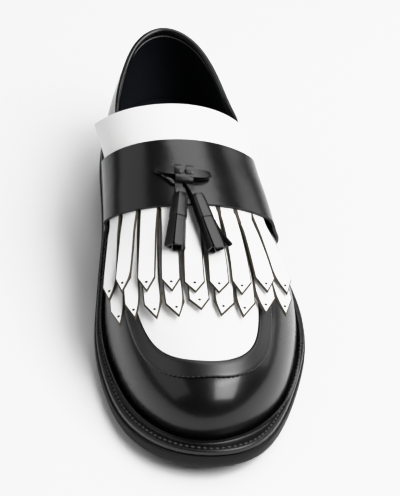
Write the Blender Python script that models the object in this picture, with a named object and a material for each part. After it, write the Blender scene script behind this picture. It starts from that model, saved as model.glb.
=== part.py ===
"""Kiltie tassel loafer, left shoe, standing empty on its sole.

Toe to -Y, heel to +Y, lateral side to +X, floor at Z = 0. Sizes are in millimetres and turned into metres
when a mesh is made. A place on the shoe is (across, along, height): along runs from the toe back to the heel.

The upper follows one closed last surface. A station says where around the shoe a section line stands: 0 is the
toe tip, positive stations run down the lateral side, negative ones down the medial side, and both meet at the
heel back. Rise runs along the section line from the feather edge (0), where the upper meets the sole, to the
ridge on top (1).
"""
import math

import bmesh
import bpy
import numpy as np

for leftover in list(bpy.data.objects):
    bpy.data.objects.remove(leftover)

METRES = 0.001

# Driving sizes of the sole
SOLE_THICK = 9.0
SOLE_LIP = 1.0
TOE_SPRING = 8.0
SPRING_END = 66.0
ARCH_START = 132.0
HEEL_BREAST = 228.0
ARCH_RISE = 21.0
SEAT_RISE = 1.5
SEAT_LENGTH = 74.0
WELT_THICK = 3.4
BEAD_RISE = 1.4
INSOLE_THICK = 3.2

# Driving sizes of the leather
GAP = 0.3
WALL = 2.0
APRON_THICK = 1.1
BAND_RISE = 1.7
KILTIE_THICK = 1.2
SADDLE_THICK = 1.8

# How finely the pieces are cut into faces
LOOP_STEPS = 72
WALL_STEPS = 9
NEAR_RIDGE = 0.99
GIRTH_STEPS = 90

# The lateral side, one row for each section line
SIDE_COLUMNS = ("along", "across", "wall", "flare", "crown", "welt", "seam", "plug", "roll")
LATERAL_SIDE = {
    "toe tip": (10.5, -4.0, 0.80, 1.0, 0.72, 9.8, 0.585, 0.700, 0.0),
    "toe front": (16.0, 14.0, 0.78, 1.0, 0.72, 10.4, 0.530, 0.662, 0.0),
    "toe corner": (32.0, 31.0, 0.74, 1.0, 0.70, 5.6, 0.475, 0.610, 0.0),
    "vamp front": (55.0, 43.5, 0.68, 1.0, 0.68, 3.2, 0.505, 0.636, 0.0),
    "vamp": (86.0, 52.0, 0.62, 1.5, 0.64, 4.4, 0.560, 0.660, 0.0),
    "ball": (114.0, 53.5, 0.56, 4.5, 0.62, 5.0, 0.590, 0.680, 0.0),
    "saddle front": (139.0, 51.0, 0.52, 7.0, 0.60, 4.8, 0.600, 0.690, 0.0),
    "saddle middle": (164.0, 47.0, 0.52, 7.0, 0.64, 4.6, 0.600, 0.690, 0.0),
    "saddle rear": (188.0, 42.5, 0.52, 5.5, 0.68, 4.5, 0.600, 0.690, 0.0),
    "throat": (213.0, 38.5, 0.51, 4.5, 0.88, 4.3, 0.600, 0.690, 0.6),
    "ankle": (240.0, 35.5, 0.49, 4.2, 0.66, 4.3, 0.600, 0.690, 0.6),
    "counter": (266.0, 31.0, 0.44, 3.1, 0.64, 4.6, 0.600, 0.690, 0.0),
    "heel side": (286.0, 19.0, 0.44, 4.0, 0.74, 5.0, 0.600, 0.690, 0.0),
    "heel back": (295.5, -3.0, 0.45, 5.0, 0.85, 5.2, 0.600, 0.690, 0.0),
}

# The medial side, the same columns
MEDIAL_SIDE = {
    "toe tip": (10.5, -4.0, 0.80, 1.0, 0.72, 9.8, 0.585, 0.700, 0.0),
    "toe front": (16.0, -21.0, 0.78, 1.0, 0.72, 9.0, 0.540, 0.675, 0.0),
    "toe corner": (31.0, -34.5, 0.74, 1.0, 0.70, 8.6, 0.462, 0.602, 0.0),
    "vamp front": (52.0, -44.0, 0.68, 1.2, 0.70, 7.2, 0.435, 0.565, 0.0),
    "vamp": (81.0, -50.0, 0.64, 1.2, 0.70, 5.6, 0.450, 0.560, 0.0),
    "ball": (108.0, -51.0, 0.62, 1.0, 0.74, 4.8, 0.470, 0.570, 0.0),
    "saddle front": (133.0, -48.5, 0.62, 1.5, 0.80, 4.6, 0.480, 0.580, 0.0),
    "saddle middle": (157.0, -45.5, 0.62, 3.0, 0.86, 4.5, 0.480, 0.580, 0.0),
    "saddle rear": (182.0, -42.0, 0.60, 7.0, 0.88, 4.4, 0.480, 0.580, 0.0),
    "throat": (209.0, -41.0, 0.62, 7.0, 0.92, 4.3, 0.480, 0.580, 4.0),
    "ankle": (238.0, -39.5, 0.56, 7.5, 0.70, 4.3, 0.480, 0.580, 4.0),
    "counter": (266.0, -34.0, 0.46, 5.5, 0.60, 4.6, 0.480, 0.580, 0.8),
    "heel side": (286.0, -23.5, 0.44, 5.0, 0.76, 5.0, 0.480, 0.580, 0.0),
    "heel back": (295.5, -3.0, 0.45, 5.0, 0.85, 5.2, 0.480, 0.580, 0.0),
}

# The ridge that both sides share; behind the throat it runs above the collar and is cut away
RIDGE_COLUMNS = ("ridge_along", "ridge_across", "ridge_height", "ridge_slope")
RIDGE = {
    "toe tip": (66.0, -3.0, 53.0, 0.12),
    "toe front": (68.0, -3.0, 53.3, 0.12),
    "toe corner": (72.0, -3.0, 53.9, 0.14),
    "vamp front": (80.0, -3.0, 55.3, 0.17),
    "vamp": (94.0, -3.5, 58.0, 0.22),
    "ball": (111.0, -4.5, 62.0, 0.27),
    "saddle front": (131.0, -6.5, 68.5, 0.33),
    "saddle middle": (152.0, -9.0, 76.0, 0.37),
    "saddle rear": (173.0, -11.0, 84.0, 0.38),
    "throat": (203.0, -11.0, 94.5, 0.32),
    "ankle": (231.0, -8.0, 102.5, 0.22),
    "counter": (249.0, -5.0, 105.5, 0.10),
    "heel side": (259.0, -4.0, 106.5, 0.0),
    "heel back": (263.0, -3.5, 106.5, 0.0),
}

# The collar line seen from the side, one row for each point along the shoe
COLLAR_COLUMNS = ("along", "height")
COLLAR = {
    "before the throat": (168.0, 96.0),
    "throat": (176.0, 86.0),
    "under the flap": (188.0, 79.0),
    "instep side": (204.0, 72.5),
    "ankle front": (224.0, 68.0),
    "ankle": (244.0, 68.0),
    "counter front": (262.0, 73.5),
    "counter": (278.0, 83.0),
    "heel back": (289.0, 88.6),
    "behind": (304.0, 90.6),
}

# The fringe, one row for each strip from the medial edge to the lateral one. Root is where its slits end; half is
# half its width at the shoulders of its point; roll turns its point towards level, medial edge up, in degrees; along
# and girth place the tips of the two layers; lift is how far a tip stands up. A strip is longer than its run along
# the shoe by the slope; it looks a short share ahead to find which way it points.
STRIP_COLUMNS = (
    "root", "half", "roll", "upper_along", "upper_girth", "upper_lift", "lower_along", "lower_girth", "lower_lift")
STRIPS = {
    "medial edge": (140.5, 4.3, 26.0, 98.4, -46.0, 3.4, 88.2, -45.6, 2.7),
    "second": (137.5, 4.3, 24.0, 96.7, -38.3, 3.6, 85.4, -37.3, 2.8),
    "third": (135.0, 4.8, 13.0, 91.0, -27.3, 2.6, 80.3, -28.0, 1.9),
    "fourth": (133.0, 5.1, 8.0, 85.5, -15.8, 2.5, 75.1, -17.4, 1.8),
    "middle": (131.5, 5.5, 0.0, 79.0, -4.0, 1.9, 69.2, -2.9, 1.5),
    "sixth": (130.0, 5.4, -3.0, 80.0, 9.4, 2.1, 72.0, 12.8, 1.3),
    "seventh": (129.0, 5.4, -6.0, 82.9, 21.2, 2.7, 76.1, 24.0, 1.7),
    "eighth": (129.5, 5.6, -14.0, 88.0, 34.0, 3.5, 81.5, 34.8, 2.4),
    "lateral edge": (132.0, 5.0, -24.0, 91.8, 45.3, 4.0, 85.4, 45.8, 3.4),
}
STRIP_PITCH = 10.0
STRIP_GIRTH_SHIFT = 2.6
STRIP_ROOT_HALF = 4.8
STRIP_POINT = 7.0
STRIP_SLOPE = 1.08
LOOK_AHEAD = 0.01
KILTIE_TAIL = 16.0
TAIL_ROWS = 2
FLAT_SHARE = 0.3
RAMP_SHARE = 0.25

STATION_COUNT = len(RIDGE) - 1
LOOP = 2 * STATION_COUNT


def column_rows(table):
    return np.array(list(table.values()), float)


def columns_of(names, table):
    """The named columns of a table, as a dictionary of arrays."""
    return dict(zip(names, column_rows(table).T))


def smooth_through(places, knots, values):
    """A smooth curve through the values at the knots."""
    slopes = np.gradient(values, knots)
    places = np.clip(places, knots[0], knots[-1])
    row = np.clip(np.searchsorted(knots, places) - 1, 0, len(knots) - 2)
    width = knots[row + 1] - knots[row]
    share = (places - knots[row]) / width
    rest = 1.0 - share
    start = values[row] + share * (width * slopes[row] + 2.0 * values[row])
    end = values[row + 1] + rest * (2.0 * values[row + 1] - width * slopes[row + 1])
    return rest ** 2 * start + share ** 2 * end


def smooth_step(share):
    share = np.clip(share, 0.0, 1.0)
    return share * share * (3.0 - 2.0 * share)


def sole_bottom(along):
    """Height of the outsole's underside: toe spring, forefoot flat, arch and heel seat."""
    along = np.asarray(along, float)
    spring = TOE_SPRING * np.clip((SPRING_END - along) / SPRING_END, 0.0, None) ** 2
    arch = ARCH_RISE * smooth_step((along - ARCH_START) / (HEEL_BREAST - ARCH_START))
    seat = SEAT_RISE * np.clip((along - HEEL_BREAST) / SEAT_LENGTH, 0.0, 1.0)
    return spring + arch + seat


# The closed spline through the section rows
LATERAL_ROWS = np.hstack([column_rows(LATERAL_SIDE), column_rows(RIDGE)])
MEDIAL_ROWS = np.hstack([column_rows(MEDIAL_SIDE), column_rows(RIDGE)])
LAST_ROWS = np.vstack([LATERAL_ROWS, MEDIAL_ROWS[-2:0:-1]])
ONES = np.eye(LOOP)
SPLINE = 4.0 * ONES + np.roll(ONES, 1, 0) + np.roll(ONES, -1, 0)
LAST_BEND = np.linalg.solve(
    SPLINE, 6.0 * (np.roll(LAST_ROWS, -1, 0) - 2.0 * LAST_ROWS + np.roll(LAST_ROWS, 1, 0)))
LAST_COLUMNS = SIDE_COLUMNS + RIDGE_COLUMNS


def section(station):
    """The named columns at any station, as a dictionary of arrays."""
    station = np.asarray(station, float)
    row = np.floor(station).astype(int)
    share = (station - row)[..., None]
    here = row % LOOP
    after = (row + 1) % LOOP
    values = (1.0 - share) * LAST_ROWS[here] + share * LAST_ROWS[after]
    values = values + ((1.0 - share) ** 3 - (1.0 - share)) * LAST_BEND[here] / 6.0
    values = values + (share ** 3 - share) * LAST_BEND[after] / 6.0
    return dict(zip(LAST_COLUMNS, np.moveaxis(values, -1, 0)))


def last_point(station, rise):
    """A point on the last: a four point curve from the feather edge up the wall and over to the ridge."""
    station, rise = np.broadcast_arrays(np.asarray(station, float), np.asarray(rise, float))
    row = section(station)
    foot_height = sole_bottom(row["along"]) + SOLE_THICK + GAP
    foot = np.stack([row["across"], row["along"], foot_height], -1)
    ridge = np.stack([row["ridge_across"], row["ridge_along"], row["ridge_height"]], -1)
    spread = foot - ridge
    spread[..., 2] = 0.0
    outward = spread / np.linalg.norm(spread, axis=-1, keepdims=True)
    wall = foot + outward * row["flare"][..., None]
    wall[..., 2] += row["wall"] * (row["ridge_height"] - foot_height)
    crown = ridge + spread * row["crown"][..., None]
    crown[..., 2] += row["ridge_slope"] * (crown[..., 1] - row["ridge_along"])
    up = rise[..., None]
    down = 1.0 - up
    return down ** 3 * foot + 3.0 * down ** 2 * up * wall + 3.0 * down * up ** 2 * crown + up ** 3 * ridge


def side_normal(station, rise):
    step = 0.001
    around = last_point(station + step, rise) - last_point(station - step, rise)
    upward = last_point(station, rise + step) - last_point(station, rise - step)
    normal = np.cross(around, upward)
    return normal / np.linalg.norm(normal, axis=-1, keepdims=True)


def last_normal(station, rise):
    """Outward normal of the last; on the ridge the two sides share one normal."""
    station, rise = np.broadcast_arrays(np.asarray(station, float), np.asarray(rise, float))
    low = np.minimum(rise, NEAR_RIDGE)
    normal = side_normal(station, low)
    shared = normal + side_normal(-station, low)
    normal = np.where((rise > NEAR_RIDGE)[..., None], shared, normal)
    return normal / np.linalg.norm(normal, axis=-1, keepdims=True)


def off_last(station, rise, height):
    """A point at a height above the last."""
    height = np.asarray(height, float)
    return last_point(station, rise) + last_normal(station, rise) * height[..., None]


def feather_outline(station, outset):
    """The feather line in plan, moved outward."""
    step = 0.001
    before = section(station - step)
    after = section(station + step)
    turn = np.stack([after["along"] - before["along"], before["across"] - after["across"]], -1)
    turn = turn / np.linalg.norm(turn, axis=-1, keepdims=True)
    row = section(station)
    plan = np.stack([row["across"], row["along"]], -1)
    return plan + turn * np.broadcast_to(outset, station.shape)[..., None]


def station_at(along):
    """The lateral station whose section line meets the ridge at this place along the shoe."""
    stations = np.linspace(0.0, STATION_COUNT, 40 * STATION_COUNT + 1)
    return np.interp(along, section(stations)["ridge_along"], stations)


def station_on(hand, along, rise):
    """The station on one side where the line of this rise reaches a place along the shoe."""
    stations = np.linspace(0.0, STATION_COUNT, 20 * STATION_COUNT + 1)
    return hand * np.interp(along, last_point(hand * stations, rise)[:, 1], stations)


def wrap(along, girth, height):
    """A point and its normal at a girth from the ridge, lateral when positive, above the last."""
    station = float(station_at(along))
    if girth < 0.0:
        station = -station
    rises = np.linspace(1.0, 0.1, GIRTH_STEPS)
    line = last_point(np.full(GIRTH_STEPS, station), rises)
    lengths = np.concatenate([[0.0], np.cumsum(np.linalg.norm(np.diff(line, axis=0), axis=1))])
    rise = np.interp(abs(girth), lengths, rises)
    normal = last_normal(station, rise)
    return last_point(station, rise) + normal * height, normal


def collar_rise(stations):
    """How far up each section line the upper reaches: the collar behind the throat, the ridge before it."""
    rises = np.linspace(0.0, 1.0, 201)
    line = last_point(stations[:, None], rises[None, :])
    collar = columns_of(COLLAR_COLUMNS, COLLAR)
    above = line[..., 2] - smooth_through(line[..., 1], collar["along"], collar["height"])
    reach = np.ones(len(stations))
    for index, heights in enumerate(above):
        over = np.flatnonzero(heights > 0.0)
        if len(over):
            first = over[0]
            share = -heights[first - 1] / (heights[first] - heights[first - 1])
            reach[index] = rises[first - 1] + share * (rises[first] - rises[first - 1])
    return reach


# The shoe stands centred on the origin
LOOP_STATIONS = np.arange(LOOP_STEPS) * LOOP / LOOP_STEPS
SOLE_EDGE = feather_outline(LOOP_STATIONS, section(LOOP_STATIONS)["welt"] + SOLE_LIP)
CENTRE = 0.5 * (SOLE_EDGE.min(axis=0) + SOLE_EDGE.max(axis=0))


def to_metres(points):
    points = np.array(points, float)
    points[..., 0] -= CENTRE[0]
    points[..., 1] -= CENTRE[1]
    return points * METRES


def leather(name, colour, roughness):
    material = bpy.data.materials.new(name)
    material.use_nodes = True
    shader = material.node_tree.nodes["Principled BSDF"]
    shader.inputs["Base Color"].default_value = (*colour, 1.0)
    shader.inputs["Roughness"].default_value = roughness
    shader.inputs["Metallic"].default_value = 0.0
    return material


def make_object(name, points, faces, colour, roughness, sharp_angle):
    mesh = bpy.data.meshes.new(name)
    mesh.from_pydata([tuple(point) for point in to_metres(points)], [], faces)
    build = bmesh.new()
    build.from_mesh(mesh)
    bmesh.ops.recalc_face_normals(build, faces=build.faces)
    build.to_mesh(mesh)
    build.free()
    mesh.shade_smooth()
    mesh.set_sharp_from_angle(angle=math.radians(sharp_angle))
    mesh.materials.append(leather(name + " leather", colour, roughness))
    piece = bpy.data.objects.new(name, mesh)
    bpy.context.collection.objects.link(piece)
    return piece


def grid_faces(index, closed=False, kept=None):
    """Four sided faces of a grid of point numbers; repeated numbers make triangles."""
    rows, columns = index.shape
    faces = []
    for row in range(rows if closed else rows - 1):
        for column in range(columns - 1):
            if kept is not None and not kept[row][column]:
                continue
            after = (row + 1) % rows
            corners = (index[row, column], index[after, column], index[after, column + 1], index[row, column + 1])
            corners = tuple(dict.fromkeys(int(corner) for corner in corners))
            if len(corners) > 2:
                faces.append(corners)
    return faces


def thick_sheet(name, outer, inner, faces, colour, roughness, sharp_angle=40.0):
    """A solid between two sheets of the same faces, closed by a wall along every open edge."""
    used = sorted({corner for face in faces for corner in face})
    number = {old: new for new, old in enumerate(used)}
    count = len(used)
    top = [tuple(number[corner] for corner in face) for face in faces]
    bottom = [tuple(corner + count for corner in reversed(face)) for face in top]
    edges = {}
    for face in top:
        for start, end in zip(face, face[1:] + face[:1]):
            edges.setdefault((min(start, end), max(start, end)), []).append((start, end))
    walls = []
    for uses in edges.values():
        if len(uses) == 1:
            start, end = uses[0]
            walls.append((end, start, start + count, end + count))
    points = np.vstack([outer.reshape(-1, 3)[used], inner.reshape(-1, 3)[used]])
    return make_object(name, points, top + bottom + walls, colour, roughness, sharp_angle)


def stacked_solid(name, levels, colour, roughness, sharp_angle=35.0):
    """A solid through closed outlines laid over each other; the ends are closed from side to side."""
    size = len(levels[0])
    faces = []
    for level in range(len(levels) - 1):
        for step in range(size):
            after = (step + 1) % size
            low = level * size
            faces.append((low + step, low + after, low + size + after, low + size + step))
    for base, turned in ((0, True), ((len(levels) - 1) * size, False)):
        for step in range(size // 2):
            corners = (step, step + 1, (size - step - 1) % size, (size - step) % size)
            corners = tuple(dict.fromkeys(base + corner for corner in corners))
            faces.append(tuple(reversed(corners)) if turned else corners)
    return make_object(name, np.vstack(levels), faces, colour, roughness, sharp_angle)


def outline_level(stations, outset, lift):
    """A closed outline at a height over the outsole's underside."""
    plan = feather_outline(stations, outset)
    return np.column_stack([plan, sole_bottom(plan[:, 1]) + lift])


BLACK = (0.012, 0.012, 0.013)
SOLE_BLACK = (0.018, 0.018, 0.019)
LINING = (0.010, 0.013, 0.020)
WHITE = (0.82, 0.82, 0.81)


# Outsole: a rounded lower edge, the widest line, then a slight draw in to the welt
OUTSOLE_COLUMNS = ("outset", "lift")
OUTSOLE_EDGE = {
    "tread": (-1.6, 0.0),
    "lower round": (0.2, 1.4),
    "widest": (SOLE_LIP, 4.6),
    "top": (0.4, SOLE_THICK),
}
welt_width = section(LOOP_STATIONS)["welt"]
outsole_edge = columns_of(OUTSOLE_COLUMNS, OUTSOLE_EDGE)
outsole_levels = []
for outset, lift in zip(outsole_edge["outset"], outsole_edge["lift"]):
    outsole_levels.append(outline_level(LOOP_STATIONS, welt_width + outset, lift))
stacked_solid("outsole", outsole_levels, SOLE_BLACK, 0.55)

# Heel: a block under the seat, drawn in a little towards the floor
HEEL_STEPS = 26
HEEL_START = 9.55
HEEL_COLUMNS = ("inset", "share")
HEEL_EDGE = {
    "floor": (2.6, 0.0),
    "floor round": (1.4, 0.07),
    "top": (0.4, 1.0),
}
heel_stations = np.linspace(HEEL_START, LOOP - HEEL_START, HEEL_STEPS + 1)
heel_edge = columns_of(HEEL_COLUMNS, HEEL_EDGE)
heel_levels = []
for inset, share in zip(heel_edge["inset"], heel_edge["share"]):
    plan = feather_outline(heel_stations, section(heel_stations)["welt"] + SOLE_LIP - inset)
    plan = np.vstack([0.5 * (plan[:1] + plan[-1:]), plan])
    heel_levels.append(np.column_stack([plan, share * (sole_bottom(plan[:, 1]) - GAP)]))
stacked_solid("heel", heel_levels, SOLE_BLACK, 0.55)

# Welt: a strip on the outsole with a raised bead against the upper. Side is 0 at the upper and 1 at the outer rim;
# the offset moves a point outward from there.
WELT_INNER = 0.85
WELT_COLUMNS = ("side", "offset", "lift")
WELT_EDGE = {
    "inner foot": (0, 0.0, 0.0),
    "outer foot": (1, -0.3, 0.0),
    "outer side": (1, 0.0, 0.8),
    "outer rim": (1, -0.2, 2.7),
    "top outer": (1, -1.0, WELT_THICK),
    "top inner": (0, 1.9, WELT_THICK - 0.3),
    "bead": (0, 1.1, WELT_THICK + BEAD_RISE),
    "inner top": (0, 0.0, WELT_THICK + 0.6),
}
welt_edge = columns_of(WELT_COLUMNS, WELT_EDGE)
welt_rings = []
for side, offset, lift in zip(welt_edge["side"], welt_edge["offset"], welt_edge["lift"]):
    outset = WELT_INNER + side * (welt_width - WELT_INNER) + offset
    welt_rings.append(outline_level(LOOP_STATIONS, outset, SOLE_THICK + GAP + lift))
ring_count = len(welt_rings)
ring_index = np.arange(ring_count * LOOP_STEPS).reshape(ring_count, LOOP_STEPS)
ring_index = np.hstack([ring_index, ring_index[:, :1]])
make_object("welt", np.vstack(welt_rings), grid_faces(ring_index, closed=True), BLACK, 0.45, 30.0)

# Insole: the footbed inside the upper
INSOLE_COLUMNS = ("inset", "lift")
INSOLE_EDGE = {
    "foot": (WALL + 0.7, 0.0),
    "side": (WALL + 0.7, INSOLE_THICK - 0.9),
    "top": (WALL + 1.8, INSOLE_THICK),
}
insole_edge = columns_of(INSOLE_COLUMNS, INSOLE_EDGE)
insole_levels = []
for inset, lift in zip(insole_edge["inset"], insole_edge["lift"]):
    insole_levels.append(outline_level(LOOP_STATIONS, np.full(LOOP_STEPS, -inset), SOLE_THICK + GAP + lift))
stacked_solid("insole", insole_levels, LINING, 0.6)

# Upper: the last's surface and the same surface a wall thickness inside it, joined along the ridge and
# rolled in a little at the collar
ROLL_START = 0.6
reach = collar_rise(LOOP_STATIONS)
wall_rise = reach[:, None] * np.linspace(0.0, 1.0, WALL_STEPS + 1)[None, :]
wall_station = np.broadcast_to(LOOP_STATIONS[:, None], wall_rise.shape)
upper_index = np.arange(wall_rise.size).reshape(wall_rise.shape)
for step in range(LOOP_STEPS):
    other = (LOOP_STEPS - step) % LOOP_STEPS
    if reach[step] == 1.0 and reach[other] == 1.0:
        upper_index[step, -1] = upper_index[min(step, other), -1]
rolled = np.where(reach < 1.0, np.clip(section(LOOP_STATIONS)["roll"], 0.0, None), 0.0)
roll_share = smooth_step((np.linspace(0.0, 1.0, WALL_STEPS + 1) - ROLL_START) / (1.0 - ROLL_START))
inward = feather_outline(LOOP_STATIONS, -1.0) - feather_outline(LOOP_STATIONS, 0.0)
inward = np.column_stack([inward, np.zeros(LOOP_STEPS)])
roll_move = inward[:, None, :] * (rolled[:, None] * roll_share[None, :])[..., None]
wall_in = np.full(wall_rise.shape, -WALL)
thick_sheet(
    "upper", last_point(wall_station, wall_rise) + roll_move, off_last(wall_station, wall_rise, wall_in) + roll_move,
    grid_faces(upper_index, closed=True), BLACK, 0.3, 60.0)

# Apron: the white plug, a step above the upper inside the moccasin seam
APRON_END = 6.4
APRON_STEPS = 38
APRON_ROWS = 5
apron_stations = np.linspace(-APRON_END, APRON_END, APRON_STEPS + 1)
plug_edge = section(apron_stations)["plug"]
share = np.linspace(0.0, 1.0, APRON_ROWS + 1)
apron_rise = plug_edge[:, None] + (1.0 - plug_edge[:, None]) * share[None, :]
apron_station = np.broadcast_to(apron_stations[:, None], apron_rise.shape)
apron_index = np.arange(apron_rise.size).reshape(apron_rise.shape)
for step in range(APRON_STEPS + 1):
    apron_index[step, -1] = apron_index[max(step, APRON_STEPS - step), -1]
apron_low = np.full(apron_rise.shape, GAP)
thick_sheet(
    "apron", off_last(apron_station, apron_rise, apron_low + APRON_THICK),
    off_last(apron_station, apron_rise, apron_low), grid_faces(apron_index), WHITE, 0.4)

# Apron band: the black band between the plug and the moccasin seam, rolled up a little against the plug
BAND_END = 5.0
BAND_TAPER = 0.8
BAND_END_SHARE = 0.3
BAND_STEPS = 38
BAND_COLUMNS = ("share", "height")
BAND_PROFILE = {
    "seam": (0.0, 0.5),
    "seam round": (0.1, 1.0),
    "flat": (0.55, 1.2),
    "roll": (0.86, BAND_RISE),
    "plug edge": (1.0, 1.3),
}
PLUG_CLEAR = 0.008
band_stations = np.linspace(-BAND_END, BAND_END, BAND_STEPS + 1)
band_row = section(band_stations)
band_profile = columns_of(BAND_COLUMNS, BAND_PROFILE)
band_width = band_row["plug"] - PLUG_CLEAR - band_row["seam"]
band_rise = band_row["seam"][:, None] + band_width[:, None] * band_profile["share"][None, :]
band_station = np.broadcast_to(band_stations[:, None], band_rise.shape)
band_index = np.arange(band_rise.size).reshape(band_rise.shape)
band_full = smooth_step((BAND_END - np.abs(band_stations)) / BAND_TAPER)
band_full = BAND_END_SHARE + (1.0 - BAND_END_SHARE) * band_full
band_top = GAP + band_profile["height"][None, :] * band_full[:, None]
thick_sheet(
    "apron_band", off_last(band_station, band_rise, band_top),
    off_last(band_station, band_rise, np.full(band_rise.shape, GAP)), grid_faces(band_index), BLACK, 0.3)

# Kiltie: two white layers, each a tail under the saddle with nine pointed strips fused to it
APRON_TOP = GAP + APRON_THICK
LOWER_ROOT = APRON_TOP + GAP
UPPER_ROOT = LOWER_ROOT + KILTIE_THICK + GAP
SADDLE_ROOT = UPPER_ROOT + KILTIE_THICK + GAP
LOWER_CLEAR = GAP + BAND_RISE + 0.5
UPPER_CLEAR = LOWER_CLEAR + KILTIE_THICK + 0.5
STRIP_SHARES = (0.0, 0.14, 0.30, 0.46, 0.62, 0.80, 1.0)


def strip_rows(cell, layer, root_girth, root_height, clear_height):
    """Left, middle and right points of one strip, under side first, from the tail to the tip."""
    run = cell["root"] - cell[layer + "_along"]
    drift = cell[layer + "_girth"] - root_girth
    body = 1.0 - STRIP_POINT / (run * STRIP_SLOPE)
    places = [-KILTIE_TAIL / run * (TAIL_ROWS - row) / TAIL_ROWS for row in range(TAIL_ROWS)]
    places += [share * body for share in STRIP_SHARES]
    places.append(1.0)
    rows = []
    for place in places:
        reach_share = max(place, 0.0)
        along = cell["root"] - place * run
        girth = root_girth + drift * reach_share
        ramp = float(smooth_step(reach_share / RAMP_SHARE))
        low = root_height + (clear_height - root_height) * ramp + cell[layer + "_lift"] * reach_share ** 2
        middle, normal = wrap(along, girth, low)
        ahead, _ = wrap(along - LOOK_AHEAD * run, girth + LOOK_AHEAD * drift, low)
        side = np.cross(normal, ahead - middle)
        side = side / np.linalg.norm(side)
        roll = math.radians(cell["roll"]) * float(smooth_step(reach_share))
        level_side = math.cos(roll) * side - math.sin(roll) * normal
        level_normal = math.cos(roll) * normal + math.sin(roll) * side
        half = STRIP_ROOT_HALF + (cell["half"] - STRIP_ROOT_HALF) * min(reach_share / body, 1.0)
        pair = []
        for hand in (-1.0, 1.0):
            bent, _ = wrap(along, girth + hand * half, low)
            flat = middle + hand * half * level_side
            pair.append(bent + (flat - bent) * float(smooth_step(reach_share / FLAT_SHARE)))
        if place == places[-1]:
            pair = [middle, middle]
        rows.append(([pair[0], middle, pair[1]], level_normal))
    return rows


def kiltie(layer, root_height, clear_height):
    under = []
    over = []
    for number, row in enumerate(STRIPS.values()):
        root_girth = STRIP_GIRTH_SHIFT + STRIP_PITCH * (number - 0.5 * (len(STRIPS) - 1))
        strip = strip_rows(dict(zip(STRIP_COLUMNS, row)), layer, root_girth, root_height, clear_height)
        for place in range(3):
            under.append([points[place] for points, _ in strip])
            over.append([points[place] + normal * KILTIE_THICK for points, normal in strip])
    under = np.array(under)
    over = np.array(over)
    index = np.arange(under.shape[0] * under.shape[1]).reshape(under.shape[:2])
    for number in range(len(STRIPS)):
        index[3 * number:3 * number + 3, -1] = index[3 * number, -1]
    kept = np.ones((index.shape[0] - 1, index.shape[1] - 1), bool)
    kept[2::3, TAIL_ROWS:] = False
    thick_sheet("kiltie_" + layer, over, under, grid_faces(index, kept=kept), WHITE, 0.42, 30.0)


kiltie("lower", LOWER_ROOT, LOWER_CLEAR)
kiltie("upper", UPPER_ROOT, UPPER_CLEAR)


LATERAL = 1.0
MEDIAL = -1.0


def across_shoe(steps, low_rise):
    """Sides and rises of points from low on the lateral side over the ridge to low on the medial side."""
    place = np.linspace(-1.0, 1.0, steps + 1)
    hand = np.where(place <= 0.0, LATERAL, MEDIAL)
    low = np.array([low_rise[side] for side in hand])
    return place, hand, 1.0 - (1.0 - low) * np.abs(place)


def swept_back(along, hand, rise):
    """Stations of an edge over the shoe that starts at a place on the ridge and sweeps back down both sides."""
    stations = []
    for side, level in zip(hand, rise):
        stations.append(station_on(side, along + SWEEP[side] * (1.0 - level) ** 2, level))
    return np.array(stations)


# Saddle: a band over the kiltie that drops on to the upper at both sides and runs down to the welt
SADDLE_STEPS = 28
SADDLE_ROWS = 6
SADDLE_LOW = {LATERAL: 0.066, MEDIAL: 0.058}
SADDLE_FRONT = 134.0
SADDLE_REAR = 173.8
SWEEP = {LATERAL: 30.0, MEDIAL: 41.0}
COVER_START = {LATERAL: 0.34, MEDIAL: 0.29}
COVER_SPAN = 0.13
place, hand, rise = across_shoe(SADDLE_STEPS, SADDLE_LOW)
front = swept_back(SADDLE_FRONT, hand, rise)
rear = swept_back(SADDLE_REAR, hand, rise)
cover_start = np.array([COVER_START[side] for side in hand])
cover = smooth_step((rise - cover_start) / COVER_SPAN)
saddle_share = np.linspace(0.0, 1.0, SADDLE_ROWS + 1)[:, None]
saddle_station = front + (rear - front) * saddle_share
saddle_rise = np.broadcast_to(rise, saddle_station.shape)
saddle_low = np.broadcast_to(GAP + (SADDLE_ROOT - GAP) * cover, saddle_station.shape)
saddle_index = np.arange(saddle_rise.size).reshape(saddle_rise.shape)
thick_sheet(
    "saddle", off_last(saddle_station, saddle_rise, saddle_low + SADDLE_THICK),
    off_last(saddle_station, saddle_rise, saddle_low), grid_faces(saddle_index), BLACK, 0.3)

# Tongue: a broad white flap, held under the saddle and running straight back out of it
TONGUE_STEPS = 20
TONGUE_LOW = {LATERAL: 0.465, MEDIAL: 0.43}
TONGUE_HELD = 16.0
TONGUE_PAST_SADDLE = 0.8
FLAP_LENGTH = 24.0
FLAP_SLOPE = math.radians(21.0)
FLAP_FLARE = {LATERAL: 0.0, MEDIAL: 4.5}
FLAP_DROOP = {LATERAL: 4.0, MEDIAL: 0.0}
FLAP_SHARES = (0.35, 0.7, 1.0)
place, hand, rise = across_shoe(TONGUE_STEPS, TONGUE_LOW)
tongue_start = swept_back(SADDLE_REAR - TONGUE_HELD, hand, rise)
tongue_end = swept_back(SADDLE_REAR + TONGUE_PAST_SADDLE, hand, rise)
tongue_under = []
tongue_over = []
for share in (0.0, 0.5, 1.0):
    station = tongue_start + (tongue_end - tongue_start) * share
    tongue_under.append(off_last(station, rise, np.full(rise.shape, UPPER_ROOT)))
    tongue_over.append(off_last(station, rise, np.full(rise.shape, UPPER_ROOT + KILTIE_THICK)))
flare = np.array([FLAP_FLARE[side] for side in hand]) * hand * np.abs(place)
droop = np.array([FLAP_DROOP[side] for side in hand]) * np.abs(place) ** 3
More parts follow.
